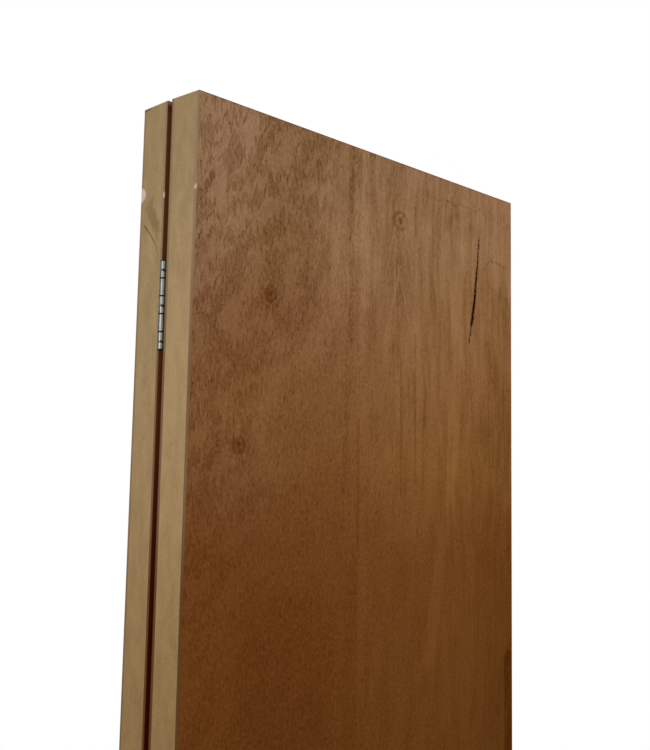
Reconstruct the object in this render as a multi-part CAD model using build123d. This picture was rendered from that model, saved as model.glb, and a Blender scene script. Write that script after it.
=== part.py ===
"""Bi-fold door: two hollow-core flush leaves, hinged edge to edge and folded face to face.

X runs along the leaf width, from the hinge edges (low X) to the free edges (high X).
Y runs through the thickness: the hung leaf is in front, the lead leaf behind it.
Z is up, and the origin is the middle of the hung leaf's bottom end.
"""
from build123d import *
import os

# Leaf, all lengths in millimetres
leaf_width = 451.0
leaf_height = 2007.0
leaf_thickness = 35.0
skin_thickness = 3.2
stile_width = 38.0
rail_height = 45.0
hinge_edge_relief = 1.3  # the hinge edge falls back by this from the inner to the outer face
arris = 0.5  # chamfer around an outer face

# Hinge: a rolled steel butt hinge, screwed flat on the inner faces
hinge_height = 76.2
hinge_inset = 142.0  # from the end of a leaf to the nearest end of its hinge
plate_thickness = 1.25
plate_reach = 21.0  # from the pin's axis to the plate's free edge
plate_corner = 3.0
pin_diameter = 2.7
pin_clearance = 0.1
knuckle_count = 5
knuckle_gap = 0.3
barrel_stand_off = 0.8  # how far the pin's axis stands off the hinge edges
roll_angle = 290.0  # how far a knuckle wraps around the pin
notch_clearance = 0.4  # between a plate and the other plate's knuckles

# Slanted nick across each hung knuckle, where it is pinched onto the pin
crimp_width = 0.7
crimp_depth = 0.4
crimp_slant = 24.0
crimp_bearing = 235.0  # the side of the barrel that the nick is on, in degrees from X

# Countersunk screw holes of the hinge
hole_diameter = 3.8
countersink_diameter = 6.0
hole_row_near = 9.0  # from the pin's axis to the end holes
hole_row_far = 14.5  # from the pin's axis to the middle hole
hole_end_distance = 12.0  # from the plate's ends to the end holes

# Bores for the pivots and the guide, in the ends of the free stiles
bore_diameter = 9.5
bore_depth = 32.0
bore_edge_distance = 22.0

# Split in the hung leaf's outer veneer: distances from the free edge and from the top, and its width
split_depth = 0.8
split_line = [
    (59.3, 54.1, 0.3),
    (62.8, 87.0, 1.3),
    (67.1, 120.1, 1.8),
    (71.1, 142.1, 2.4),
    (74.0, 156.4, 1.2),
    (76.5, 166.8, 0.3),
]

# Worked out from the sizes above
knuckle_inner = pin_diameter / 2 + pin_clearance
knuckle_outer = knuckle_inner + plate_thickness
leaf_gap = 2 * knuckle_outer
knuckle_length = (hinge_height - (knuckle_count - 1) * knuckle_gap) / knuckle_count
notch_x = knuckle_outer + notch_clearance
hinge_edge_x = -leaf_width / 2
free_edge_x = leaf_width / 2
hinge_bottoms = {
    "lower_hinge": hinge_inset,
    "middle_hinge": (leaf_height - hinge_height) / 2,
    "upper_hinge": leaf_height - hinge_inset - hinge_height,
}

# The hung leaf is drawn with the fold's middle plane at Y zero, and the lead leaf is its mirror image
inner_face_y = -leaf_gap / 2
outer_face_y = inner_face_y - leaf_thickness
middle_y = inner_face_y - leaf_thickness / 2


def hinge_edge_at(depth):
    """X of the relieved hinge edge at a depth behind the leaf's inner face."""
    return hinge_edge_x + hinge_edge_relief * depth / leaf_thickness


def level(x):
    """A side that keeps the same X at every depth."""
    return lambda depth: x


def slab(near_side, far_side, depths, heights):
    """A flat piece between two depths and two heights, each side's X given by a function of depth."""
    (front, back), (low, high) = depths, heights
    corners = [
        (near_side(front), inner_face_y - front),
        (far_side(front), inner_face_y - front),
        (far_side(back), inner_face_y - back),
        (near_side(back), inner_face_y - back),
    ]
    return Pos(0, 0, low) * extrude(make_face(Polyline(*corners, close=True)), high - low)


def outer_skin():
    """The skin on the outer face, with its arris taken off all round."""
    depths = (leaf_thickness - skin_thickness, leaf_thickness)
    sheet = slab(hinge_edge_at, level(free_edge_x), depths, (0, leaf_height))
    return chamfer(sheet.faces().sort_by(Axis.Y)[0].edges(), arris)


def veneer_split():
    """The long gap of the split, which tapers out at both ends."""
    left = [(free_edge_x - inset - width / 2, leaf_height - drop) for inset, drop, width in split_line]
    right = [(free_edge_x - inset + width / 2, leaf_height - drop) for inset, drop, width in split_line]
    outline = make_face(Plane.XZ * Polyline(*left, *reversed(right), close=True))
    return Pos(0, outer_face_y, 0) * extrude(outline, split_depth, both=True)


def end_bore(z_middle):
    """The drill for a pivot or guide bore in an end of the free stile."""
    place = Pos(free_edge_x - bore_edge_distance, middle_y, z_middle)
    return place * Cylinder(bore_diameter / 2, bore_depth)


def leaf(bore_middles):
    """The six pieces of one leaf: two skins on a frame of two stiles and two rails."""
    framing = (skin_thickness, leaf_thickness - skin_thickness)
    full = (0, leaf_height)
    between = (level(hinge_edge_x + stile_width), level(free_edge_x - stile_width))
    bores = [end_bore(z_middle) for z_middle in bore_middles]
    return {
        "inner_skin": slab(hinge_edge_at, level(free_edge_x), (0, skin_thickness), full),
        "outer_skin": outer_skin(),
        "hinge_stile": slab(hinge_edge_at, between[0], framing, full),
        "free_stile": slab(between[1], level(free_edge_x), framing, full) - bores,
        "bottom_rail": slab(*between, framing, (0, rail_height)),
        "top_rail": slab(*between, framing, (leaf_height - rail_height, leaf_height)),
    }


def knuckle():
    """A rolled knuckle from Z zero, with the strip that joins it to its plate."""
    outer = CenterArc((0, 0), knuckle_outer, -90, -roll_angle)
    inner = CenterArc((0, 0), knuckle_inner, -90 - roll_angle, roll_angle)
    seam = Line(outer @ 1, inner @ 0)
    strip = Polyline(inner @ 1, (notch_x, -knuckle_inner), (notch_x, -knuckle_outer), outer @ 0)
    return extrude(make_face([outer, seam, inner, *strip.edges()]), knuckle_length)


def crimp():
    """The cutter of the slanted nick across the middle of a knuckle that stands on Z zero."""
    bar = Box(2 * crimp_depth, 4 * knuckle_outer, crimp_width)
    side = Rot(0, 0, crimp_bearing) * Pos(knuckle_outer, 0, 0) * Rot(crimp_slant, 0, 0)
    return Pos(0, 0, knuckle_length / 2) * side * bar


def screw_hole(x, z):
    """A countersunk hole in a plate, wide on the side that faces the fold's middle plane."""
    sink_depth = (countersink_diameter - hole_diameter) / 2
    sink = Pos(0, 0, -sink_depth / 2) * Cone(hole_diameter / 2, countersink_diameter / 2, sink_depth)
    drill = Cylinder(hole_diameter / 2, 2 * plate_thickness)
    return Pos(x, -knuckle_inner, z) * Rot(-90, 0, 0) * (sink + drill)


def plate_blank():
    """The flat part of a plate, with rounded corners and its screw holes."""
    outline = [(notch_x, 0), (plate_reach, 0), (plate_reach, hinge_height), (notch_x, hinge_height)]
    face = make_face(Plane.XZ * Polyline(*outline, close=True))
    rounded = fillet(face.vertices().group_by(Axis.X)[-1], plate_corner)
    holes = [
        screw_hole(hole_row_near, hole_end_distance),
        screw_hole(hole_row_far, hinge_height / 2),
        screw_hole(hole_row_near, hinge_height - hole_end_distance),
    ]
    return Pos(0, -knuckle_inner, 0) * extrude(rounded, plate_thickness) - holes


def plate(numbers, nick=None):
    """A hung plate about the pin's axis, with the knuckles of the given numbers from the bottom."""
    rolled = knuckle() - nick if nick else knuckle()
    form = plate_blank()
    for number in numbers:
        form += Pos(0, 0, number * (knuckle_length + knuckle_gap)) * rolled
    return form


def pin():
    """The hinge pin, flush with the ends of the barrel."""
    return Pos(0, 0, hinge_height / 2) * Cylinder(pin_diameter / 2, hinge_height)


def mirrored(shape):
    """The lead leaf's copy of a hung piece."""
    return mirror(shape, about=Plane.XZ)


def hinge(name, bottom):
    """The three nodes of one hinge: its pin and its two plates."""
    place = Pos(hinge_edge_x - barrel_stand_off, 0, bottom)
    odd_knuckles = range(0, knuckle_count, 2)
    even_knuckles = range(1, knuckle_count, 2)
    return {
        f"{name}_pin": place * pin(),
        f"{name}_hung_plate": place * plate(odd_knuckles, crimp()),
        f"{name}_lead_plate": place * mirrored(plate(even_knuckles)),
    }


def door():
    """Every piece of the door, by name."""
    top_bore = leaf_height - bore_depth / 2
    bottom_bore = bore_depth / 2
    pieces = {f"hung_leaf_{name}": shape for name, shape in leaf([bottom_bore, top_bore]).items()}
    pieces["hung_leaf_outer_skin"] -= veneer_split()
    for name, shape in leaf([top_bore]).items():
        pieces[f"lead_leaf_{name}"] = mirrored(shape)
    for name, bottom in hinge_bottoms.items():
        pieces.update(hinge(name, bottom))
    return pieces


os.makedirs("parts", exist_ok=True)
for node, shape in door().items():
    export_step(Pos(0, -middle_y, 0) * shape, f"parts/{node}.step")
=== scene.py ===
"""Finishes of a folded bi-fold door: figured red-brown veneer, bare stile edges, zinc hinges and screws."""

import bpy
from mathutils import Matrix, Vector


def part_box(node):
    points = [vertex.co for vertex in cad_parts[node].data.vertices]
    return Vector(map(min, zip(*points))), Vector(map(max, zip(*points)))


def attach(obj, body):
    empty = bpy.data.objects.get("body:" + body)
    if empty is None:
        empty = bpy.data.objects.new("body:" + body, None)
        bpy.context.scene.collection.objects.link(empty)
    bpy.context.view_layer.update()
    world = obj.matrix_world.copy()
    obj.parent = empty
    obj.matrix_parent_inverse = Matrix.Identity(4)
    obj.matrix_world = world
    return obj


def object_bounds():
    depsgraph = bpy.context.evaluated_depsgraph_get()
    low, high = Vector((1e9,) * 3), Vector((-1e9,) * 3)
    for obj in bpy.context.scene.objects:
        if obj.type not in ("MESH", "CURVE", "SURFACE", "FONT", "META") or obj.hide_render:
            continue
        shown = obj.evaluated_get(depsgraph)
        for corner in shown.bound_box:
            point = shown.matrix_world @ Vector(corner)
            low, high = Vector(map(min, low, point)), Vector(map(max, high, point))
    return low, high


bl_info = {
    "name": "Bi-fold Door Finishes",
    "version": (1, 0, 0),
    "blender": (4, 5, 0),
    "location": "3D View > Sidebar > Door",
    "description": "Finishes a folded pair of flush door leaves and adds the screws of its hinges",
    "category": "Object",
}

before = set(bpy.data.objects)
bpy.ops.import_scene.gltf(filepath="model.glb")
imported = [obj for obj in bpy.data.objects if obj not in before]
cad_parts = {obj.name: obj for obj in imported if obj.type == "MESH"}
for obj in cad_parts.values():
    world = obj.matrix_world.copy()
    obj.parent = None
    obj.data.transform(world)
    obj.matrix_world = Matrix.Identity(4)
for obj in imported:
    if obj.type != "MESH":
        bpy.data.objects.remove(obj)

import math
from functools import reduce

import bpy
from bpy.props import FloatProperty, FloatVectorProperty, PointerProperty
from mathutils import Matrix, Quaternion, Vector

CAD_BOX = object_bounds()
BODY = "root"
MM = 0.001
HINGES = ("lower_hinge", "middle_hinge", "upper_hinge")
LEAVES = ("hung_leaf", "lead_leaf")
BOARDS = ("hinge_stile", "free_stile", "bottom_rail", "top_rail")

# Places on the door, in millimetres
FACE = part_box("hung_leaf_outer_skin")
HINGE_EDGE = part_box("hung_leaf_inner_skin")[0].x / MM
FREE_EDGE = FACE[1].x / MM
TOP = FACE[1].z / MM
FOLD_MIDDLE = 20.2

# Veneer: its coat, and how much each part of the grain changes its tone
VARNISH = 0.138
MEAN_TONE = 0.538
FIBRE_CONTRAST = 1.2
PATCH_CONTRAST = 0.16
RIM_DARKNESS = 0.09
PIT_DARKNESS = 0.13
DASH_DARKNESS = 0.12
GRAIN_DEPTH = 9.0  # how far the grain runs into a skin before it changes, in millimetres
DASH_SIZE = (1.8, 8.0)  # width and length of the short dark dashes, in millimetres
DASH_LAYER = 3.0  # the slice of the noise that they come from
VENEER_RELIEF = 0.09
BOARD_RELIEF = 0.12

# Marks of the hung leaf's outer face, in millimetres from the hinge edge and down from the top
RING_KNOT = (262.6, 59.4)
UPPER_KNOT = (89.1, 160.8)
LOWER_KNOT = (56.1, 295.4)
KNOT_RING_PITCH = 3.2
ARCHES = (262.0, 80.0)
ARCH_PITCH = 17.0
ARCH_STEEPNESS = 3.6
ARCH_MIDDLE = 45.0
SHEEN = (45.0, 318.0)
SHEEN_SIZE = (62.0, 48.0)
DUST_PITCH = (17.0, 21.0)
SPECK_SIZE = (0.8, 1.0)
PALE_SPECKS = (
    (184.3, 226.7),
    (63.3, 303.5),
    (304.3, 245.0),
    (144.1, 382.3),
    (99.9, 410.4),
    (120.2, 410.7),
    (148.0, 193.0),
)

# Round marks of the same face: centre, half size, softness and raggedness of the outline,
# and change of tone
SPOTS = (
    ((269.6, 59.4), (15.0, 15.0), 0.3, 0.4, 0.06),
    (RING_KNOT, (11.2, 10.2), 0.24, 0.5, -0.25),
    (RING_KNOT, (8.0, 7.4), 0.2, 0.3, 0.21),
    (RING_KNOT, (2.6, 3.6), 0.5, 0.3, -0.32),
    (UPPER_KNOT, (5.6, 5.0), 0.7, 0.9, -0.17),
    (LOWER_KNOT, (9.5, 6.5), 0.7, 0.9, -0.22),
    ((123.8, 327.8), (1.6, 5.0), 0.6, 1.0, -0.16),
    ((35.3, 20.5), (1.0, 1.0), 0.5, 0.0, -0.4),
)

# Broad bands of the same face: ends of the middle line, half width and softness in millimetres,
# and change of tone
BANDS = (
    ((211.0, -20.0), (212.0, 150.0), 4.0, 3.5, 0.14),
    ((212.0, 150.0), (213.0, 520.0), 3.0, 4.0, 0.05),
    ((190.0, -20.0), (193.0, 190.0), 2.0, 3.0, -0.13),
    ((160.0, 60.0), (167.0, 165.0), 10.0, 9.0, 0.07),
    ((122.0, 10.0), (118.0, 150.0), 32.0, 22.0, -0.07),
    ((20.0, 0.0), (5.0, 120.0), 38.0, 22.0, 0.05),
    ((356.0, 70.0), (347.0, 300.0), 6.0, 6.0, 0.10),
    ((346.0, 300.0), (310.0, 490.0), 4.0, 8.0, 0.08),
    ((158.0, 188.0), (63.0, 291.0), 9.0, 12.0, 0.05),
    ((62.0, 284.0), (74.0, 266.0), 2.0, 4.0, -0.10),
    ((118.0, 475.0), (118.0, 900.0), 34.0, 52.0, -0.09),
    ((199.0, 400.0), (200.0, 900.0), 5.0, 7.0, -0.06),
    ((434.0, 250.0), (434.0, 900.0), 8.0, 50.0, -0.09),
    ((445.4, 494.0), (445.4, 640.0), 8.2, 1.8, -0.175),
    ((449.0, 395.0), (449.0, 482.0), 1.0, 1.6, -0.12),
    ((277.0, 200.0), (272.0, 320.0), 38.0, 30.0, 0.06),
    ((0.0, 620.0), (451.0, 620.0), 230.0, 130.0, -0.07),
    ((257.0, -20.0), (257.0, 130.0), 8.0, 18.0, -0.06),
    ((333.0, -20.0), (333.0, 140.0), 10.0, 20.0, -0.04),
    ((385.0, 50.0), (385.0, 130.0), 6.0, 16.0, -0.05),
    ((430.0, 120.0), (430.0, 200.0), 10.0, 25.0, -0.10),
    ((262.0, 155.0), (262.0, 185.0), 4.0, 12.0, -0.07),
    ((186.0, 130.0), (186.0, 165.0), 6.0, 12.0, 0.07),
    ((215.0, 0.0), (451.0, 0.0), 25.0, 45.0, -0.06),
)

# Thin dark streaks and lines of the same face, laid out like the bands
STREAKS = (
    ((265.2, 196.0), (266.9, 330.0), 0.5, 1.4, -0.16),
    ((286.0, 170.0), (288.5, 318.0), 0.7, 1.6, -0.15),
    ((303.0, 225.0), (301.0, 262.0), 1.0, 2.6, -0.09),
    ((205.5, 262.0), (206.5, 380.0), 0.6, 1.6, -0.13),
    ((190.0, 215.0), (186.0, 330.0), 1.5, 3.5, -0.07),
    ((304.2, 22.5), (320.6, 25.6), 0.3, 1.6, -0.08),
    ((320.6, 25.6), (337.1, 22.2), 0.3, 1.4, -0.09),
    ((337.1, 22.2), (349.8, 25.4), 0.3, 1.4, -0.09),
    ((349.8, 25.4), (358.4, 21.7), 0.3, 1.4, -0.09),
    ((358.4, 21.7), (375.7, 23.2), 0.3, 1.4, -0.09),
    ((375.7, 23.2), (393.4, 21.8), 0.3, 1.6, -0.08),
    ((393.4, 21.8), (411.5, 19.9), 0.3, 1.8, -0.05),
    ((336.5, 52.6), (341.5, 43.1), 1.5, 4.5, -0.05),
    ((341.5, 43.1), (355.0, 34.9), 1.5, 4.5, -0.05),
    ((355.0, 34.9), (375.8, 28.4), 1.5, 5.0, -0.05),
    ((379.3, 40.7), (362.0, 49.7), 1.5, 6.0, -0.05),
    ((388.3, 108.6), (411.5, 100.4), 0.5, 3.0, -0.03),
    ((411.5, 100.4), (439.1, 111.4), 0.5, 3.0, -0.04),
    ((439.1, 111.4), (450.2, 127.5), 0.5, 3.0, -0.03),
    ((284.7, 42.0), (286.5, 70.0), 0.4, 1.6, -0.12),
    ((257.0, 98.0), (258.5, 145.0), 0.5, 1.5, -0.13),
    ((400.7, 84.7), (406.1, 77.2), 0.4, 2.0, -0.11),
    ((406.1, 77.2), (415.2, 72.8), 0.4, 2.0, -0.11),
    ((415.2, 72.8), (426.2, 73.6), 0.4, 2.0, -0.11),
    ((426.2, 73.6), (441.0, 76.5), 0.4, 2.0, -0.11),
    ((87.5, 167.0), (88.5, 168.5), 0.6, 1.4, -0.16),
    ((58.0, 299.0), (60.0, 303.5), 0.4, 1.6, -0.14),
)

# The split in the same face, in millimetres from the free edge and down from the top
SPLIT = ((59.3, 54.1), (62.8, 87.0), (67.1, 120.1), (71.1, 142.1), (74.0, 156.4), (76.5, 166.8))

# Marks of the hinge edges, in millimetres across in Y and down from the top
SMUDGE = (38.5, 101.5)
SMUDGE_SIZE = (6.0, 15.0)
SMUDGE_SLANT = 0.45
SMUDGE_STRENGTH = 0.48
LEAD_TOP_BRUISE = ((57.6, 2.0), (48.0, 1.0))
SCRATCH = ((50.8, 106.6), (41.5, 115.5), (33.2, 126.0), (29.4, 135.4))

# Chips of the same edges: centre, half size, slant, softness of the outline, and how pale they are
CHIPS = (
    ((58.5, 78.0), (7.4, 6.6), 0.0, 0.14, 1.0),
    ((23.4, 83.5), (2.2, 2.6), 0.0, 0.35, 0.7),
    ((-17.0, 83.2), (2.4, 2.3), -0.5, 0.3, 0.8),
)

# Barrel of a hinge: how far its painted shade reaches from the pin's axis towards the plates and the radii
# between which it ends, in millimetres, and a nick's place as a share of the knuckle's length and its slant
KNUCKLES = 5
BARREL_REACH = 2.6
KNUCKLE_RADII = (2.45, 2.67)
NICK_PLACE = 0.43
NICK_SLANT = 0.22
SHADE_TO_HIGHLIGHT = (0.72, -0.70)  # from the shaded flank to the painted highlight, as parts towards the front and outwards

# Screws, in millimetres: the Y of each plate's flat face, and each screw's distance from the pin's axis
# and from the plate's lower end
PLATE_FACE = {"hung": 18.75, "lead": 21.65}
SCREW_PLACES = ((9.0, 12.0), (14.5, 38.1), (9.0, 64.2))
SCREW_TWIST = 37.0  # degrees from one screw's recess to the next
SCREW_SIDES = 24
SCREW_SMOOTH = 30.0  # degrees between faces that still shade as one
HEAD_SINK = 0.06
HEAD_RIM = 0.25
THREAD_PITCH = 1.6
THREAD_DEPTH = 0.45
THREAD_END = 3.0  # shortest plain part of the shank
POINT_LENGTH = 4.0
POINT_RADIUS = 0.1
RECESS_DEPTH = 1.5
RECESS_SPAN = 3.6

# Lamps: place and aim in metres, size in metres and spread of the light in degrees
LAMPS = {
    "key_lamp": ((1.10, -0.92, 2.52), (0.0, 0.0, 1.95), 0.7, 62.0),
    "fill_lamp": ((-1.27, -0.15, 1.85), (-0.22, 0.03, 1.80), 0.5, 85.0),
    "back_lamp": ((1.5, 2.1, 2.1), (0.0, 0.04, 1.0), 1.2, 150.0),
}

# Floor, in metres, and where between its middle and its rim it starts to pale
FLOOR_SIDES = 96
FLOOR_BORDER = 0.02
FLOOR_DROP = 0.0005
FLOOR_SPECKLE = 300.0  # millimetres
FLOOR_DIMMING = 0.97
PALE_FROM = 0.15
WHITE = (1.0, 1.0, 1.0)

# The camera's place in metres, the way it looks and its tilt in degrees, and its lens in pixels of the
# photograph
CAMERA_PLACE = (-0.8322, -0.7587, 1.6388)
CAMERA_BEARING = 45.93
CAMERA_RISE = 7.665
CAMERA_ROLL = 1.074
CAMERA_FOCAL = 1182.1
PHOTO_LONG_SIDE = 750
SENSOR = 36.0


class Value:
    """A number or a colour in a node tree, so that shader maths reads as plain expressions."""

    def __init__(self, tree, socket):
        self.tree = tree
        self.socket = socket

    def maths(self, operation, first, second):
        return self.tree.maths(operation, first, second)

    def __add__(self, other):
        return self.maths("ADD", self, other)

    def __radd__(self, other):
        return self.maths("ADD", other, self)

    def __sub__(self, other):
        return self.maths("SUBTRACT", self, other)

    def __rsub__(self, other):
        return self.maths("SUBTRACT", other, self)

    def __mul__(self, other):
        return self.maths("MULTIPLY", self, other)

    def __rmul__(self, other):
        return self.maths("MULTIPLY", other, self)

    def __truediv__(self, other):
        return self.maths("DIVIDE", self, other)

    def __abs__(self):
        return self.maths("ABSOLUTE", self, 0.0)


class Tree:
    """The nodes of a material or of the world, which all come from one method."""

    def __init__(self, tree):
        self.nodes = tree.nodes
        self.links = tree.links

    def node(self, kind, settings=None, inputs=None, output=0):
        """A node of a kind, with its settings made first, then the values or links of its sockets."""
        made = self.nodes.new(kind)
        for name, setting in (settings or {}).items():
            setattr(made, name, setting)
        for name, value in (inputs or {}).items():
            self.feed(made.inputs[name], value)
        return Value(self, made.outputs[output])

    def feed(self, socket, value):
        """Links a value to a socket, or sets the socket to a number or a colour."""
        if isinstance(value, Value):
            self.links.new(value.socket, socket)
        elif isinstance(value, (int, float)):
            socket.default_value = value
        elif len(socket.default_value) == 4:
            socket.default_value = (*value, 1.0)
        else:
            socket.default_value = value

    def maths(self, operation, first, second):
        return self.node("ShaderNodeMath", {"operation": operation}, {0: first, 1: second})

    def largest(self, first, second):
        return self.maths("MAXIMUM", first, second)

    def smallest(self, first, second):
        return self.maths("MINIMUM", first, second)

    def zigzag(self, value, height):
        """Goes up from 0 to a height and down again as the value grows."""
        return self.maths("PINGPONG", value, height)

    def root(self, value):
        return self.maths("SQRT", value, 0.0)

    def between(self, factor, first, second):
        """One number going over into another."""
        return self.node("ShaderNodeMix", {"data_type": "FLOAT"}, {0: factor, 2: first, 3: second})

    def seen(self):
        """1 for what is seen straight, in metal or through glass, and 0 for what only lights the rest."""
        rays = ("Is Camera Ray", "Is Glossy Ray", "Is Transmission Ray")
        return reduce(self.largest, [self.node("ShaderNodeLightPath", output=ray) for ray in rays])


class Shade(Tree):
    """One procedural material, in millimetres of the object's own frame."""

    def __init__(self, name):
        self.material = bpy.data.materials.new(name)
        self.material.use_nodes = True
        super().__init__(self.material.node_tree)
        self.surface = self.nodes["Principled BSDF"]
        place = self.node("ShaderNodeTexCoord", output="Object")
        place = self.node("ShaderNodeVectorMath", {"operation": "SCALE"}, {0: place, "Scale": 1 / MM})
        self.x, self.y, self.z = self.split(place)
        self.down = TOP - self.z
        self.along = self.x - HINGE_EDGE

    def split(self, vector):
        """The three parts of a vector."""
        parts = self.node("ShaderNodeSeparateXYZ", None, {0: vector}).socket.node
        return [Value(self, socket) for socket in parts.outputs]

    def vector(self, x, y, z):
        return self.node("ShaderNodeCombineXYZ", None, {0: x, 1: y, 2: z})

    def noise(self, place, detail=2.0, roughness=0.5):
        """Smooth noise about 0.5 at a place given in widths of its own features."""
        inputs = {"Vector": place, "Scale": 1.0, "Detail": detail, "Roughness": roughness}
        return self.node("ShaderNodeTexNoise", None, inputs)

    def clouds(self, sizes, detail=2.0, roughness=0.5):
        """Noise with features of a size in millimetres along X, Y and down; 0 means no change that way."""
        parts = zip((self.x, self.y, self.down), sizes)
        place = self.vector(*(part / size if size else 0.0 for part, size in parts))
        return self.noise(place, detail, roughness)

    def cells(self, place):
        """Distance to the nearest of scattered points."""
        return self.node("ShaderNodeTexVoronoi", None, {"Vector": place, "Scale": 1.0})

    def fade(self, value, low, high, start=0.0, end=1.0):
        """A smooth step from start to end as the value goes from low to high."""
        settings = {"interpolation_type": "SMOOTHSTEP", "clamp": True}
        inputs = {"Value": value, "From Min": low, "From Max": high, "To Min": start, "To Max": end}
        return self.node("ShaderNodeMapRange", settings, inputs)

    def mix(self, factor, first, second, blend="MIX"):
        """One colour going over into another."""
        settings = {"data_type": "RGBA", "blend_type": blend, "clamp_factor": True}
        return self.node("ShaderNodeMix", settings, {0: factor, 6: first, 7: second}, output=2)

    def facing(self, axis):
        """The part of the surface normal along an axis of the object, 0 for X, 1 for Y and 2 for Z."""
        return self.split(self.node("ShaderNodeNewGeometry", output="Normal"))[axis]

    def spot(self, across, down, centre, half_size, edge, ragged=0.0):
        """An oval mark, 1 inside and fading out over its edge; ragged shifts its outline."""
        u = (across - centre[0]) / half_size[0]
        v = (down - centre[1]) / half_size[1]
        return self.fade(self.root(u * u + v * v) + ragged, 1.0 - edge, 1.0 + edge, 1.0, 0.0)

    def stroke(self, across, down, start, end, ragged=0.0):
        """Distance in millimetres from a straight line between two points."""
        run, fall = end[0] - start[0], end[1] - start[1]
        u, v = across - start[0], down - start[1]
        part = self.node("ShaderNodeClamp", None, {0: (u * run + v * fall) / (run * run + fall * fall)})
        off_u, off_v = u - part * run, v - part * fall
        return self.root(off_u * off_u + off_v * off_v) + ragged

    def path(self, across, down, points, ragged=0.0):
        """Distance in millimetres from the line that joins some points."""
        strokes = [self.stroke(across, down, start, end, ragged) for start, end in zip(points, points[1:])]
        return reduce(self.smallest, strokes)

    def bump(self, height, depth_mm, strength):
        """A normal for relief of a given depth."""
        inputs = {"Height": height, "Distance": depth_mm * MM, "Strength": strength}
        return self.node("ShaderNodeBump", None, inputs)

    def finish(self, **sockets):
        """Feeds the surface shader's sockets, named with _ for spaces."""
        for name, value in sockets.items():
            self.feed(self.surface.inputs[name.replace("_", " ")], value)
        return self.material


def grain(shade):
    """The fibres, pores, streaks, ragged figure and mottle of the veneer, each a noise about 0.5."""
    across = shade.x + (shade.clouds((70.0, 20.0, 170.0), 1.0) - 0.5) * 22.0
    inwards = shade.y / GRAIN_DEPTH

    def threads(width, length, detail, roughness=0.5):
        """Noise of features with a width across the grain and a length along it, in millimetres."""
        return shade.noise(shade.vector(across / width, inwards, shade.down / length), detail, roughness)

    short_share = shade.fade(shade.down - shade.along * 0.15, 0.0, 380.0, 0.57, 0.84)
    fibres = shade.between(short_share, threads(1.9, 20.0, 3.0, 0.7), threads(1.8, 2.9, 2.0, 0.6))
    pores = threads(1.4, 4.0, 1.0)
    streaks = threads(5.0, 75.0, 3.0, 0.6) * 0.5 + threads(17.0, 70.0, 2.0) * 0.5
    mottle = threads(3.0, 4.4, 2.0, 0.55)
    teeth = (threads(4.4, 48.0, 1.0) - 0.5) * 60.0 + (threads(1.9, 16.0, 0.0) - 0.5) * 13.0
    leaning = across + shade.down * 0.5
    figure = shade.noise(shade.vector(leaning / 24.0, inwards, (shade.down + teeth) / 15.0))
    return fibres, pores, streaks, figure, mottle


def wood_tone(shade, near):
    """How pale the wood is, from 0 to 1, with its fibres and pits; near is 1 close to the hinge edge."""
    fibres, pores, streaks, figure, mottle = grain(shade)
    along, down = shade.along, shade.down

    # How strong each part of the grain is from place to place
    figured = shade.fade(along + down * 0.4, 70.0, 290.0, 1.0, 0.16)
    coarse = shade.fade(down, 190.0, 460.0, 0.73, 0.52) * shade.fade(along, 190.0, 330.0, 1.0, 0.9)
    coarse = coarse * shade.fade(down - along * 0.45, -60.0, 130.0, 0.8, 1.0)
    straight = shade.fade(along, 140.0, 320.0, 0.3, 1.0) * shade.fade(down, 270.0, 440.0, 1.0, 0.48)
    banded = shade.fade(abs(along - 170.0), 30.0, 80.0, 0.27, 0.0)
    banded = banded * shade.fade(down, 110.0, 200.0, 1.0, 0.0)
    mottled = shade.fade(along, 180.0, 400.0, 0.42, 0.12)
    crowded = shade.fade(figure, 0.40, 0.54, 0.10, 0.0) * shade.fade(along, 130.0, 330.0, 1.0, 0.3)

    patches = (shade.fade(figure, 0.45, 0.55) - 0.5) * figured
    rims = shade.fade(abs(figure - 0.47), 0.0, 0.022, 1.0, 0.0) * (figured + near)
    pits = shade.fade(pores, 0.58, 0.72)
    dashes = shade.noise(shade.vector(shade.x / DASH_SIZE[0], DASH_LAYER, down / DASH_SIZE[1]), 1.0)
    dashes = shade.fade(dashes + crowded, 0.62, 0.69) * shade.fade(down, 240.0, 460.0, 1.0, 0.6)
    tone = MEAN_TONE + (fibres - 0.5) * coarse * FIBRE_CONTRAST + patches * PATCH_CONTRAST
    tone = tone + (streaks - 0.5) * (straight + banded) + (mottle - 0.5) * mottled
    tone = tone - rims * RIM_DARKNESS - pits * coarse * PIT_DARKNESS - dashes * DASH_DARKNESS
    return tone, fibres, pits


def wood_colour(shade, tone, blotches, colours):
    """The wood's colour for its tone, redder in patches and lower down, and dark at the very top."""
    wood = shade.mix(tone, colours.veneer_dark, colours.veneer_light)
    redder = shade.mix(tone, colours.veneer_red_dark, colours.veneer_red)
    drift = shade.down + (blotches - 0.5) * 60.0
    share = shade.fade(drift, 110.0, 170.0) * shade.fade(shade.along, 140.0, 320.0, 0.5, 0.2)
    share = share + shade.fade(drift, 290.0, 380.0, 0.0, 0.5)
    wood = shade.mix(share, wood, redder)
    return shade.mix(shade.fade(shade.down, 0.6, 1.8, 0.75, 0.0), wood, colours.veneer_dark)


def fold_colour(shade, colours):
    """The colour of the veneer inside the fold, with painted shade that darkens it lower down and at the very
    top.
    """
    # Painted shade lower down in the fold and at its very top
    low = shade.fade(shade.down, 120.0, 480.0)
    top = shade.fade(shade.down, 2.0, 16.0, 0.9, 0.0)
    return shade.mix(shade.largest(low, top), colours.inner_veneer, colours.inner_veneer_shade)


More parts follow.
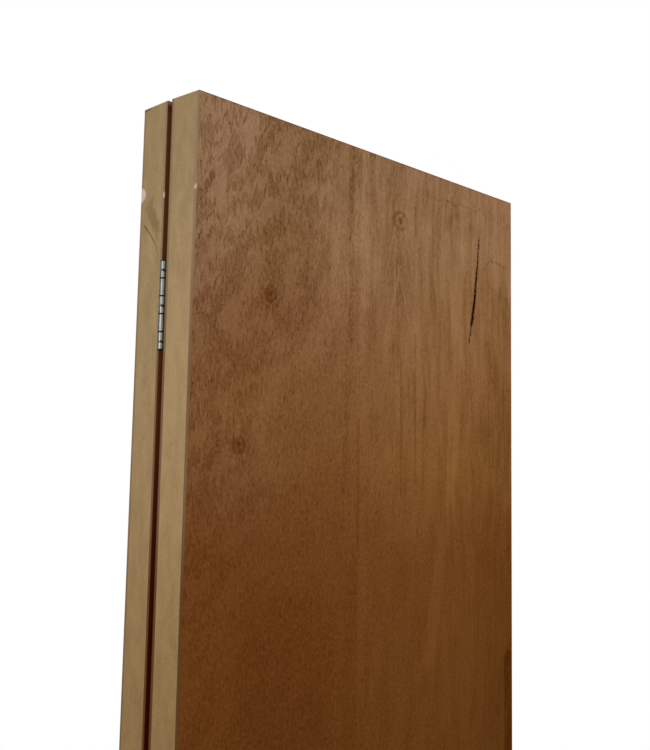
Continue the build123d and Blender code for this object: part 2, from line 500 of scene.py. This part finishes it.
def skin_edge(shade, colours, shaded):
    """The cut edge of a skin: layered, browner lower down, and with painted shade inside the fold."""
    edge = shade.mix(shade.clouds((1.2, 0.9, 18.0)), colours.skin_edge_dark, colours.skin_edge)
    # Painted shade: a skin inside the fold gets a greyer, darker cut edge
    if shaded:
        edge = shade.mix(0.5, edge, colours.shaded_inner_edge)
    # Browner lower down, less so on the lead's outer skin
    browner_low = shade.fade(shade.down, 90.0, 250.0, 0.0, 0.6) + shade.fade(shade.down, 330.0, 430.0, 0.0, 0.4)
    browner_low = browner_low * shade.fade(shade.y, 45.0, 52.0, 1.0, 0.35)
    edge = shade.mix(browner_low, edge, colours.skin_edge_low)
    # A dark line along the veneer beside the fold's gap: partly the veneer's own layer, partly painted shade
    veneer_line_and_gap_shade = shade.fade(abs(shade.y - FOLD_MIDDLE), 3.2, 3.7, 0.75, 0.0)
    return edge_marks(shade, shade.mix(veneer_line_and_gap_shade, edge, colours.inner_veneer_shade), colours)


def veneer(name, colours, marks=None, shaded=False):
    """Satin red-brown veneer on a skin, with the skin's edge on its narrow sides; shaded in the fold."""
    shade = Shade(name)
    near = shade.fade(shade.along + shade.down * 0.3, 20.0, 130.0, 1.0, 0.0)
    tone, fibres, pits = wood_tone(shade, near)
    if marks:
        tone, split_shade = marks(shade, tone)
    blotches = shade.clouds((45.0, 20.0, 60.0))
    wood = fold_colour(shade, colours) if shaded else wood_colour(shade, tone, blotches, colours)
    narrow_side = shade.fade(abs(shade.facing(1)), 0.3, 0.5, 1.0, 0.0)
    on_edge = shade.largest(narrow_side, shade.fade(shade.facing(0), -0.7, -0.65, 1.0, 0.0))
    surface = shade.mix(on_edge, wood, skin_edge(shade, colours, shaded))
    sheen = shade.spot(shade.along, shade.down, SHEEN, SHEEN_SIZE, 0.9, blotches - 0.5)
    gloss = VARNISH * (tone * 2.4 - 0.2) * (1.0 + near * 0.6 + sheen * 0.45)
    if marks:
        # Painted shade fills the open split, which also loses its gloss
        surface = shade.mix(split_shade, surface, colours.split_shade)
        gloss = gloss * (1.0 - split_shade)
    return shade.finish(
        Base_Color=surface,
        Roughness=0.6 + (fibres - 0.5) * 0.2,
        Normal=shade.bump(fibres * 0.5 - pits * 0.6, VENEER_RELIEF, 0.6),
        Specular_IOR_Level=0.0,
        Coat_Weight=gloss * (1.0 - on_edge),
        Coat_Roughness=0.5,
    )


def face_marks(shade, tone):
    """The tone with the marks of the hung leaf's outer face, and where its split is open and painted with
    shade.
    """
    along, down = shade.along, shade.down
    soft = (shade.clouds((4.0, 0.0, 9.0)) - 0.5) * 0.9
    for centre, half_size, edge, raggedness, change in SPOTS:
        tone = tone + shade.spot(along, down, centre, half_size, edge, soft * raggedness) * change
    for knot in (UPPER_KNOT, LOWER_KNOT):
        tone = tone + knot_rings(shade, knot, soft)
    for speck in PALE_SPECKS:
        tone = tone + shade.spot(along, down, speck, SPECK_SIZE, 0.5) * 0.35
    tone = tone + dust(shade, soft) + arches(shade, soft)
    tone = draw_lines(shade, tone, BANDS, along, down, soft)
    wobble = (shade.clouds((9.0, 0.0, 30.0)) - 0.5) * 11.0
    tone = draw_lines(shade, tone, STREAKS, along + wobble * 0.15, down + wobble, 0.0)
    fray = (shade.clouds((2.5, 0.0, 3.2)) - 0.5) * 3.8
    half_width = shade.fade(down, 50.0, 135.0, 0.3, 1.75) - shade.fade(down, 144.0, 153.0, 0.0, 1.25)
    outside = shade.path(FREE_EDGE - shade.x, down, SPLIT, fray) - half_width
    # Painted shade: where the split is open it is filled with a dark colour
    split_shade = shade.fade(outside, -0.4, 0.4, 1.0, 0.0)
    # Painted shade also darkens the veneer just beside the split
    return tone - shade.fade(outside, 0.0, 1.6, 0.25, 0.0), split_shade


def draw_lines(shade, tone, lines, across, down, ragged):
    """The tone with a table's straight lines drawn on it."""
    for start, end, half_width, softness, change in lines:
        distance = shade.stroke(across, down, start, end, ragged * softness)
        tone = tone + shade.fade(distance, half_width, half_width + softness, change, 0.0)
    return tone


def dust(shade, soft):
    """Scattered pale dots on the lower part of the face."""
    distance = shade.cells(shade.vector(shade.along / DUST_PITCH[0], 0.0, shade.down / DUST_PITCH[1]))
    dusty = shade.fade(shade.down - shade.along * 0.3, 150.0, 300.0)
    return shade.fade(distance + soft * 0.03, 0.03, 0.09, 0.16, 0.0) * dusty


def knot_rings(shade, knot, soft):
    """Faint rings of lighter and darker wood round a knot, fading away from it."""
    u, v = shade.along - knot[0], shade.down - knot[1]
    distance = shade.root(u * u + v * v) + soft * 5.0
    ring = shade.zigzag(distance, KNOT_RING_PITCH)
    return (ring - 1.9) * shade.fade(distance, 8.0, 17.0, 0.05, 0.0)


def arches(shade, soft):
    """Steep nested arches of pale and dark grain that hang below the ring knot."""
    u, v = shade.along - ARCHES[0], shade.down - ARCHES[1]
    rise = (v - shade.root(u * u + 4.0) * ARCH_STEEPNESS + soft * 14.0) / ARCH_PITCH
    bands = shade.noise(shade.vector(rise, 0.0, 0.0), 1.0) - 0.5
    bands = bands * shade.fade(abs(u), 12.0, 24.0, 0.55, 0.0)
    return bands * shade.fade(abs(v - ARCH_MIDDLE), 35.0, 65.0, 1.0, 0.0)


def edge_spot(shade, centre, half_size, slant, edge, ragged):
    """An oval mark on the hinge edges, which leans by a slant."""
    across = shade.y + shade.down * slant
    centre = (centre[0] + centre[1] * slant, centre[1])
    return shade.spot(across, shade.down, centre, half_size, edge, ragged)


def edge_marks(shade, colour, colours):
    """Smudge, scratch, bruise and pale chips on the hinge edges of both leaves."""
    here = shade.fade(shade.facing(0), -0.7, -0.5, 1.0, 0.0)
    soft = (shade.clouds((0.0, 5.0, 8.0), 3.0) - 0.5) * 2.0
    smudge = edge_spot(shade, SMUDGE, SMUDGE_SIZE, SMUDGE_SLANT, 0.6, soft)
    colour = shade.mix(smudge * here * SMUDGE_STRENGTH, colour, colours.grime)
    bruise = shade.fade(shade.stroke(shade.y, shade.down, *LEAD_TOP_BRUISE), 0.4, 1.3, 0.75, 0.0)
    colour = shade.mix(bruise * here, colour, colours.grime)
    scratch = shade.fade(shade.path(shade.y, shade.down, SCRATCH), 0.4, 1.2, 1.0, 0.0)
    worn = shade.fade(shade.down, 106.0, 136.0, 0.8, 0.35)
    colour = shade.mix(scratch * worn * here, colour, colours.grime)
    chips = [
        edge_spot(shade, centre, half_size, slant, edge, soft * 0.25) * paleness
        for centre, half_size, slant, edge, paleness in CHIPS
    ]
    return shade.mix(reduce(shade.largest, chips) * here, colour, colours.chip)


def board(name, colours):
    """Bare pressed fibreboard with fine specks, faint clouds, warmer lower down and a band of painted light."""
    shade = Shade(name)
    clouds = shade.clouds((22.0, 9.0, 26.0), 3.0, 0.6)
    specks = shade.clouds((1.1, 1.1, 1.9), 3.0, 0.7)
    flecks = shade.clouds((1.6, 1.4, 3.4), 1.0)
    # Painted light: a paler band about 260 mm down on the hung leaf's boards
    painted_light_band = shade.fade(abs(shade.down - 260.0), 60.0, 220.0, 0.26, 0.0)
    painted_light_band = painted_light_band * shade.fade(shade.y, 14.0, 20.0, 1.0, 0.0)
    tone = 0.5 + (clouds - 0.5) * 1.4 + (specks - 0.5) * 1.9 + painted_light_band
    colour = shade.mix(tone, colours.stile_dark, colours.stile)
    colour = shade.mix(shade.fade(shade.down, 190.0, 560.0), colour, colours.stile_warmth, "MULTIPLY")
    colour = shade.mix(shade.fade(flecks, 0.66, 0.78, 0.0, 0.35), colour, colours.grime)
    return shade.finish(
        Base_Color=edge_marks(shade, colour, colours),
        Roughness=0.78 + (specks - 0.5) * 0.2,
        Normal=shade.bump(specks + clouds * 0.5, BOARD_RELIEF, 0.5),
        Specular_IOR_Level=0.2,
    )


def zinc(name, colours, pin_box):
    """Zinc plate on rolled steel: painted highlight on the barrel's crown, painted shade beside it and between
    knuckles.
    """
    shade = Shade(name)
    low, high = pin_box
    axis_x, axis_y = (low.x + high.x) / 2 / MM, (low.y + high.y) / 2 / MM
    pitch = (high.z - low.z) / MM / KNUCKLES
    cloud = shade.clouds((3.0, 3.0, 6.0), 3.0)
    brushing = shade.clouds((0.4, 0.4, 8.0))
    out, across = axis_x - shade.x, axis_y - shade.y
    # Painted highlight on the barrel's crown, fading to painted shade on its flank
    side = across * SHADE_TO_HIGHLIGHT[0] + out * SHADE_TO_HIGHLIGHT[1]
    crown = shade.fade(side, -1.3, 0.1)
    colour = shade.mix(crown * 0.75 + (cloud - 0.5) * 0.7 + brushing * 0.2, colours.zinc_dull_and_shade, colours.zinc)

    # Painted shade where knuckles meet, in the nicks, on the barrel's ends and along its far side
    height = shade.z - low.z / MM
    nick = shade.zigzag(height - pitch * NICK_PLACE, pitch) + (out - across) * NICK_SLANT
    radius = shade.root(out * out + across * across)
    barrel_shade = [
        shade.fade(shade.zigzag(height, pitch / 2), 0.5, 0.95, 0.97, 0.0),
        shade.fade(nick, 0.35, 1.0, 0.85, 0.0),
        shade.fade(radius, *KNUCKLE_RADII, 0.95, 0.0),
        shade.fade(side, 1.8, 2.6, 0.0, 0.93),
    ]
    on_barrel = shade.fade(shade.x, axis_x + BARREL_REACH, axis_x + BARREL_REACH + 0.4, 1.0, 0.0)
    return shade.finish(
        Base_Color=shade.mix(reduce(shade.largest, barrel_shade) * on_barrel, colour, colours.hinge_shade),
        Metallic=1.0,
        Roughness=shade.fade(cloud + (brushing - 0.5) * 0.4, 0.3, 0.7, 0.26, 0.44),
        Normal=shade.bump(brushing, 0.02, 0.5),
    )


def steel(name, colours):
    """Plain bright steel of the screws, faintly ringed by the turning of their heads."""
    shade = Shade(name)
    cloud = shade.clouds((1.5, 1.5, 1.5), 3.0)
    turning = shade.clouds((0.3, 2.0, 0.3), 1.0)
    return shade.finish(
        Base_Color=shade.mix(cloud * 0.7 + turning * 0.3, colours.zinc_dull_and_shade, colours.zinc),
        Metallic=1.0,
        Roughness=shade.fade(cloud, 0.3, 0.7, 0.28, 0.42),
        Normal=shade.bump(turning, 0.01, 0.5),
    )


def dress(node, material):
    """Gives a CAD piece a material in every one of its slots."""
    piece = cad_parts[node]
    for slot in piece.material_slots:
        slot.material = material


def clear_selection():
    """Leaves nothing selected, so that an operator acts on the new piece alone."""
    bpy.ops.object.select_all(action="DESELECT")


def colour_property(name, description, default):
    """A colour that a user may change."""
    settings = {"default": default, "size": 3, "min": 0.0, "max": 1.0, "subtype": "COLOR"}
    return FloatVectorProperty(name=name, description=description, **settings)


def length_property(name, description, default):
    """A length that a user may change, in metres."""
    return FloatProperty(name=name, description=description, default=default, min=0.0, unit="LENGTH")


def power_property(name, description, default):
    """The power of a lamp, in watts."""
    return FloatProperty(name=name, description=description, default=default, min=0.0, unit="POWER")


class DoorColours(bpy.types.PropertyGroup):
    """Colours of the door's finishes."""

    veneer_light: colour_property("Veneer light", "Pale fibres of the veneer", (0.234, 0.101, 0.0110))
    veneer_dark: colour_property("Veneer dark", "Dark fibres of the veneer", (0.066, 0.018, 0.0011))
    veneer_red: colour_property("Veneer red", "Pale fibres of red patches", (0.219, 0.075, 0.0080))
    veneer_red_dark: colour_property("Veneer red dark", "Dark fibres of red patches", (0.063, 0.0115, 0.001))
    inner_veneer: colour_property("Inner veneer", "Veneer inside the fold", (0.270, 0.080, 0.016))
    # Painted shade of the veneer low and at the top of the fold, and beside the fold's gap
    inner_veneer_shade: colour_property("Inner veneer dark", "Veneer low inside the fold", (0.100, 0.014, 0.004))
    # Painted shade: a greyer, darker cut edge for a skin inside the fold
    shaded_inner_edge: colour_property("Inner edge", "Greyer cut edge of an inner skin", (0.250, 0.200, 0.135))
    skin_edge_low: colour_property("Skin edge low", "Browner cut edge lower down", (0.145, 0.068, 0.022))
    # Painted shade inside the veneer's split
    split_shade: colour_property("Opening", "Inside the veneer's split", (0.024, 0.009, 0.004))
    skin_edge: colour_property("Skin edge", "Cut edge of a skin", (0.400, 0.260, 0.150))
    skin_edge_dark: colour_property("Skin edge dark", "Dark layers of a cut edge", (0.280, 0.175, 0.100))
    stile: colour_property("Stile", "Pale fibreboard", (0.440, 0.300, 0.145))
    stile_dark: colour_property("Stile dark", "Darker clouds in the fibreboard", (0.300, 0.198, 0.088))
    stile_warmth: colour_property("Stile warmth", "Tint of fibreboard lower down", (0.940, 0.840, 0.700))
    grime: colour_property("Grime", "Smudges and scratches", (0.130, 0.070, 0.014))
    chip: colour_property("Chip", "Pale broken corners", (0.640, 0.540, 0.440))
    zinc: colour_property("Zinc", "Bright zinc plate", (0.255, 0.270, 0.243))
    # Dull zinc, and also the painted shade on a barrel's flank
    zinc_dull_and_shade: colour_property("Zinc dull", "Dulled zinc plate", (0.090, 0.088, 0.080))
    # Painted shade between the knuckles, in their nicks, on the barrel's ends and along its far side
    hinge_shade: colour_property("Hinge grime", "Dirt between the knuckles", (0.012, 0.007, 0.004))


class DoorScrews(bpy.types.PropertyGroup):
    """Sizes of the hinge screws."""

    head: length_property("Head", "Diameter of a screw's flush head", 5.8 * MM)
    shank: length_property("Shank", "Diameter of a screw's shank", 3.5 * MM)
    length: length_property("Length", "Length of a screw", 19.0 * MM)
    recess: length_property("Recess", "Width of the cross recess", 0.9 * MM)


class DoorStage(bpy.types.PropertyGroup):
    """Floor, lamps and surroundings."""

    floor: colour_property("Floor", "Colour of the floor", (0.80, 0.80, 0.79))
    floor_radius: length_property("Floor radius", "Radius of the floor", 4.5)
    key_power: power_property("Key", "Power of the lamp on the face", 5.14)
    fill_power: power_property("Fill", "Power of the lamp on the hinge edges", 1.35)
    back_power: power_property("Back", "Power of the lamp on the far faces", 27.0)
    sky: FloatProperty(name="Sky", description="Strength of light from all round", default=0.37, min=0.0)


class DoorSettings(bpy.types.PropertyGroup):
    """Everything that a user may change."""

    colours: PointerProperty(type=DoorColours)
    screws: PointerProperty(type=DoorScrews)
    stage: PointerProperty(type=DoorStage)


class DOOR_OT_skins(bpy.types.Operator):
    """Finish the four veneered skins"""

    bl_idname = "door.skins"
    bl_label = "Veneered skins"

    def execute(self, context):
        colours = context.scene.door.colours
        inner = veneer("inner_veneer", colours, shaded=True)
        for leaf in LEAVES:
            dress(f"{leaf}_inner_skin", inner)
        dress("lead_leaf_outer_skin", veneer("red_brown_veneer", colours))
        dress("hung_leaf_outer_skin", veneer("figured_veneer", colours, face_marks))
        return {"FINISHED"}


class DOOR_OT_boards(bpy.types.Operator):
    """Finish the stiles and rails"""

    bl_idname = "door.boards"
    bl_label = "Stiles and rails"

    def execute(self, context):
        material = board("bare_fibreboard", context.scene.door.colours)
        for leaf in LEAVES:
            for piece in BOARDS:
                dress(f"{leaf}_{piece}", material)
        return {"FINISHED"}


class DOOR_OT_hinges(bpy.types.Operator):
    """Finish the plates and pins of the hinges"""

    bl_idname = "door.hinges"
    bl_label = "Hinges"

    def execute(self, context):
        for hinge in HINGES:
            material = zinc(f"zinc_plate_{hinge}", context.scene.door.colours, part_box(f"{hinge}_pin"))
            for piece in ("hung_plate", "lead_plate", "pin"):
                dress(f"{hinge}_{piece}", material)
        return {"FINISHED"}


class DOOR_OT_screws(bpy.types.Operator):
    """Drive a countersunk screw into each hole of the hinge plates"""

    bl_idname = "door.screws"
    bl_label = "Hinge screws"

    def execute(self, context):
        settings = context.scene.door
        model = screw_model(settings.screws)
        model.data.materials.append(steel("screw_steel", settings.colours))
        for hinge in HINGES:
            low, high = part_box(f"{hinge}_pin")
            for leaf, facing in (("hung", 1), ("lead", -1)):
                turn = Matrix.Rotation(math.radians(-90 * facing), 4, "X")
                for number, (reach, height) in enumerate(SCREW_PLACES, 1):
                    piece = model.copy()
                    piece.data = model.data.copy()
                    piece.name = f"{hinge}_{leaf}_screw_{number}"
                    context.collection.objects.link(piece)
                    x, z = (low.x + high.x) / 2 + reach * MM, low.z + height * MM
                    place = Matrix.Translation((x, PLATE_FACE[leaf] * MM, z))
                    twist = Matrix.Rotation(math.radians(SCREW_TWIST * (number + 2 * facing)), 4, "Z")
                    piece.data.transform(place @ turn @ twist)
                    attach(piece, BODY)
        bpy.data.objects.remove(model)
        return {"FINISHED"}


def screw_model(screws):
    """A countersunk wood screw that points down from the origin, with its cross recess on top."""
    clear_selection()
    radius = screws.shank / 2
    core = radius - THREAD_DEPTH * MM
    taper = screws.head / 2 - radius
    length = screws.length - HEAD_SINK * MM
    threads = int((length - (POINT_LENGTH + THREAD_END) * MM - taper) / (THREAD_PITCH * MM))
    plain = length - taper - (POINT_LENGTH + (threads + 0.5) * THREAD_PITCH + HEAD_RIM) * MM
    bpy.ops.mesh.primitive_circle_add(vertices=SCREW_SIDES, radius=POINT_RADIUS * MM, fill_type="NGON")
    model = bpy.context.object
    model.name = "screw_model"
    bpy.ops.object.mode_set(mode="EDIT")
    grow_ring(core / (POINT_RADIUS * MM), POINT_LENGTH * MM)
    for _ in range(threads):
        grow_ring(radius / core, THREAD_PITCH * MM / 2)
        grow_ring(core / radius, THREAD_PITCH * MM / 2)
    grow_ring(radius / core, THREAD_PITCH * MM / 2)
    grow_ring(1.0, plain)
    grow_ring(screws.head / 2 / radius, taper)
    grow_ring(1.0, HEAD_RIM * MM)
    bpy.ops.mesh.select_all(action="SELECT")
    bpy.ops.mesh.normals_make_consistent(inside=False)
    bpy.ops.transform.translate(value=(0.0, 0.0, -screws.length))
    bpy.ops.object.mode_set(mode="OBJECT")
    cut_recess(model, screws.recess)
    bpy.ops.object.shade_smooth_by_angle(angle=math.radians(SCREW_SMOOTH))
    return model


def grow_ring(scale, height):
    """Extrudes the selected end face upwards and scales the new one."""
    bpy.ops.mesh.extrude_region_move(TRANSFORM_OT_translate={"value": (0.0, 0.0, height)})
    bpy.ops.transform.resize(value=(scale, scale, 1.0))


def cut_recess(model, width):
    """Cuts the cross recess into the head of the screw, which is left selected."""
    for angle in (0, 90):
        clear_selection()
        bpy.ops.mesh.primitive_cube_add(size=1.0)
        cutter = bpy.context.object
        bpy.ops.object.mode_set(mode="EDIT")
        bpy.ops.transform.resize(value=(RECESS_SPAN * MM, width, 2 * RECESS_DEPTH * MM))
        middle = (0.0, 0.0, 0.0)
        bpy.ops.transform.rotate(value=math.radians(angle), orient_axis="Z", center_override=middle)
        bpy.ops.object.mode_set(mode="OBJECT")
        clear_selection()
        model.select_set(True)
        bpy.context.view_layer.objects.active = model
        cut = model.modifiers.new("recess", "BOOLEAN")
        cut.operation = "DIFFERENCE"
        cut.solver = "EXACT"
        cut.object = cutter
        bpy.ops.object.modifier_apply(modifier=cut.name)
        bpy.data.objects.remove(cutter)


class DOOR_OT_stage(bpy.types.Operator):
    """Set up the floor, the lamps, the surroundings and the camera"""

    bl_idname = "door.stage"
    bl_label = "Stage"

    def execute(self, context):
        stage = context.scene.door.stage
        make_floor(stage)
        make_surroundings(stage)
        make_lamp("key_lamp", stage.key_power)
        make_lamp("fill_lamp", stage.fill_power)
        make_lamp("back_lamp", stage.back_power)
        make_camera()
        context.scene.view_settings.view_transform = "Standard"
        return {"FINISHED"}


def make_floor(stage):
    """A pale round floor with a narrow border, just under the door."""
    clear_selection()
    bpy.ops.mesh.primitive_circle_add(vertices=FLOOR_SIDES, radius=stage.floor_radius, fill_type="NGON")
    floor = bpy.context.object
    floor.name = "floor"
    bpy.ops.object.mode_set(mode="EDIT")
    bpy.ops.mesh.select_all(action="SELECT")
    bpy.ops.transform.translate(value=(0.0, 0.0, CAD_BOX[0].z - FLOOR_DROP))
    bpy.ops.mesh.inset(thickness=FLOOR_BORDER)
    bpy.ops.object.mode_set(mode="OBJECT")
    floor.data.materials.append(floor_finish(stage))


def floor_finish(stage):
    """A plain pale finish that keeps its shadows, and goes over into white where it is seen."""
    shade = Shade("pale_floor")
    speckle = shade.noise(shade.vector(shade.x / FLOOR_SPECKLE, shade.y / FLOOR_SPECKLE, 0.0), 3.0)
    shade.finish(
        Base_Color=shade.mix(speckle, [part * FLOOR_DIMMING for part in stage.floor], stage.floor),
        Roughness=0.9,
        Specular_IOR_Level=0.1,
    )
    rim = stage.floor_radius / MM
    distance = shade.root(shade.x * shade.x + shade.y * shade.y)
    paleness = shade.fade(distance, rim * PALE_FROM, rim, 0.5, 1.0)
    plain = Value(shade, shade.surface.outputs[0])
    white = shade.node("ShaderNodeEmission", None, {"Color": WHITE, "Strength": 1.0})
    mixed = shade.node("ShaderNodeMixShader", None, {0: paleness * shade.seen(), 1: plain, 2: white})
    shade.feed(shade.nodes["Material Output"].inputs["Surface"], mixed)
    return shade.material


def make_surroundings(stage):
    """A world that is white where it is seen, and lights the door more softly than that."""
    world = bpy.data.worlds.new("surroundings")
    world.use_nodes = True
    bpy.context.scene.world = world
    tree = Tree(world.node_tree)
    light = tree.nodes["Background"]
    tree.feed(light.inputs["Color"], WHITE)
    tree.feed(light.inputs["Strength"], tree.between(tree.seen(), stage.sky, 1.0))


def make_lamp(name, power):
    """A soft square lamp that faces a point, with a grid that narrows its light."""
    place, aim, size, spread = LAMPS[name]
    clear_selection()
    bpy.ops.object.light_add(type="AREA", location=place)
    lamp = bpy.context.object
    lamp.name = name
    lamp.data.shape = "SQUARE"
    lamp.data.size = size
    lamp.data.spread = math.radians(spread)
    lamp.data.energy = power
    lamp.rotation_euler = (Vector(aim) - Vector(place)).to_track_quat("-Z", "Y").to_euler()


def make_camera():
    """The photograph's camera."""
    clear_selection()
    bpy.ops.object.camera_add(location=CAMERA_PLACE)
    camera = bpy.context.object
    camera.name = "camera"
    bearing, rise = math.radians(CAMERA_BEARING), math.radians(CAMERA_RISE)
    level = math.cos(rise)
    ahead = Vector((math.sin(bearing) * level, math.cos(bearing) * level, math.sin(rise)))
    turn = ahead.to_track_quat("-Z", "Y") @ Quaternion((0.0, 0.0, 1.0), math.radians(CAMERA_ROLL))
    camera.rotation_euler = turn.to_euler()
    camera.data.sensor_width = SENSOR
    camera.data.lens = CAMERA_FOCAL * SENSOR / PHOTO_LONG_SIDE
    bpy.context.scene.camera = camera


class DOOR_PT_panel(bpy.types.Panel):
    """The door's finishes and pieces"""

    bl_label = "Bi-fold door"
    bl_space_type = "VIEW_3D"
    bl_region_type = "UI"
    bl_category = "Door"

    def draw(self, context):
        settings = context.scene.door
        for group in (settings.colours, settings.screws, settings.stage):
            for name in group.bl_rna.properties.keys():
                if name not in {"rna_type", "name"}:
                    self.layout.prop(group, name)
        for operator in OPERATORS:
            self.layout.operator(operator.bl_idname)


OPERATORS = (DOOR_OT_stage, DOOR_OT_skins, DOOR_OT_boards, DOOR_OT_hinges, DOOR_OT_screws)
CLASSES = (DoorColours, DoorScrews, DoorStage, DoorSettings, *OPERATORS, DOOR_PT_panel)


def register():
    for each in CLASSES:
        bpy.utils.register_class(each)
    bpy.types.Scene.door = PointerProperty(type=DoorSettings)


def unregister():
    del bpy.types.Scene.door
    for each in reversed(CLASSES):
        bpy.utils.unregister_class(each)


def main():
    """Makes everything in order."""
    register()
    bpy.ops.door.stage()
    bpy.ops.door.skins()
    bpy.ops.door.boards()
    bpy.ops.door.hinges()
    bpy.ops.door.screws()


if __name__ == "__main__":
    main()
